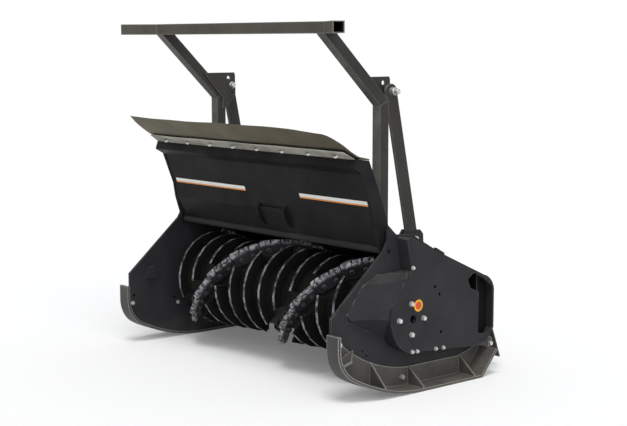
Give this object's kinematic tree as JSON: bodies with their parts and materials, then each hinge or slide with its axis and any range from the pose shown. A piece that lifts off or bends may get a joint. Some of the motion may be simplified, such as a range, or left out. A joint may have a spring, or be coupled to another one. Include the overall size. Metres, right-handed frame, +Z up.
{
  "type": "forestry mulching head",
  "caption": "Carrier-mounted forestry mulcher: toothed rotor between skid-shod end plates, hydraulic front gate with rubber deflector, and a braced tree-pushing frame",
  "frame": {"origin": "middle of the footprint box, on the floor under the skid shoes", "axes": "+Z up; X along the rotor, +X the belt-drive side; -Y the working front where the gate and teeth face"},
  "size_m": [2.654, 1.669, 2.418],
  "materials": {
    "head_paint": "satin near-black paint, worn at edges",
    "frame_paint": "satin dark grey paint",
    "skid_steel": "worn olive-grey paint over steel",
    "rotor_paint": "dusty dark paint, edges rubbed bright",
    "tooth_steel": "worn forged steel",
    "bright_steel": "zinc-bright steel pins",
    "rod_chrome": "polished rod",
    "deflector_rubber": "dusty black rubber"
  },
  "bodies": {
    "head": {"bearing_housings": "head_paint", "belt_housing_cover": "head_paint", "belt_housing_divider": "head_paint", "belt_housing_rim": "head_paint", "brace_brackets": "frame_paint", "brace_lugs": "head_paint", "brace_pins": "bright_steel", "braces": "frame_paint", "carrier_mount_plates": "head_paint", "chamber_liner": "head_paint", "curtain_rail": "head_paint", "cylinder_base_pin": "bright_steel", "cylinder_tower": "head_paint", "drive_motor": "head_paint", "end_plate_left": "head_paint", "end_plate_right": "head_paint", "floor_pan": "head_paint", "gate_hinge_pins": "head_paint", "hinge_beam": "head_paint", "hood_top_skin": "head_paint", "housing_front_guard": "head_paint", "push_arms": "frame_paint", "push_crossbar": "frame_paint", "push_frame_feet": "frame_paint", "push_uprights": "frame_paint", "push_wings": "frame_paint", "rear_curtain": "deflector_rubber", "rear_wall": "head_paint", "rotor_end_collars": "rotor_paint", "shear_bar": "tooth_steel", "skid_shoe_left": "skid_steel", "skid_shoe_right": "skid_steel"},
    "gate": {"gate_side_plates": "head_paint", "gate_panel": "head_paint", "gate_top_rail": "head_paint", "gate_hinge_pipe": "head_paint", "gate_front_bracket": "head_paint", "gate_cylinder_ears": "head_paint", "gate_pin_caps": "bright_steel", "deflector_clamp_bar": "skid_steel", "deflector_sheet": "deflector_rubber"},
    "cylinder_barrel_body": {"cylinder_barrel": "head_paint"},
    "cylinder_rod_body": {"cylinder_rod": "rod_chrome"},
    "rotor": {"rotor_drum": "rotor_paint", "rotor_shaft": "bright_steel", "limiter_rings": "rotor_paint", "tooth_holders": "rotor_paint", "cutter_teeth": "tooth_steel"}
  },
  "joints": [
    {"name": "gate_hinge", "type": "hinge", "parent": "head", "child": "gate", "pos_m": [0, -0.3125, 0.932], "axis": [1, 0, 0], "range_deg": [0, 94]},
    {"name": "barrel_swing", "type": "hinge", "parent": "head", "child": "cylinder_barrel_body", "pos_m": [0.08, 0.3075, 1.11], "axis": [1, 0, 0], "range_deg": [0, 3.1]},
    {"name": "rod_slide", "type": "slide", "parent": "cylinder_barrel_body", "child": "cylinder_rod_body", "axis": [0, -0.9983, -0.059], "range_m": [0, 0.2623]},
    {"name": "rotor_spin", "type": "hinge", "parent": "head", "child": "rotor", "pos_m": [0, -0.2125, 0.495], "axis": [1, 0, 0], "continuous": true}
  ],
  "couplings": [
    {"joint": "barrel_swing", "follows": "gate_hinge", "ratio": 0.03088},
    {"joint": "rod_slide", "follows": "gate_hinge", "m_per_rad": 0.15928}
  ]
}
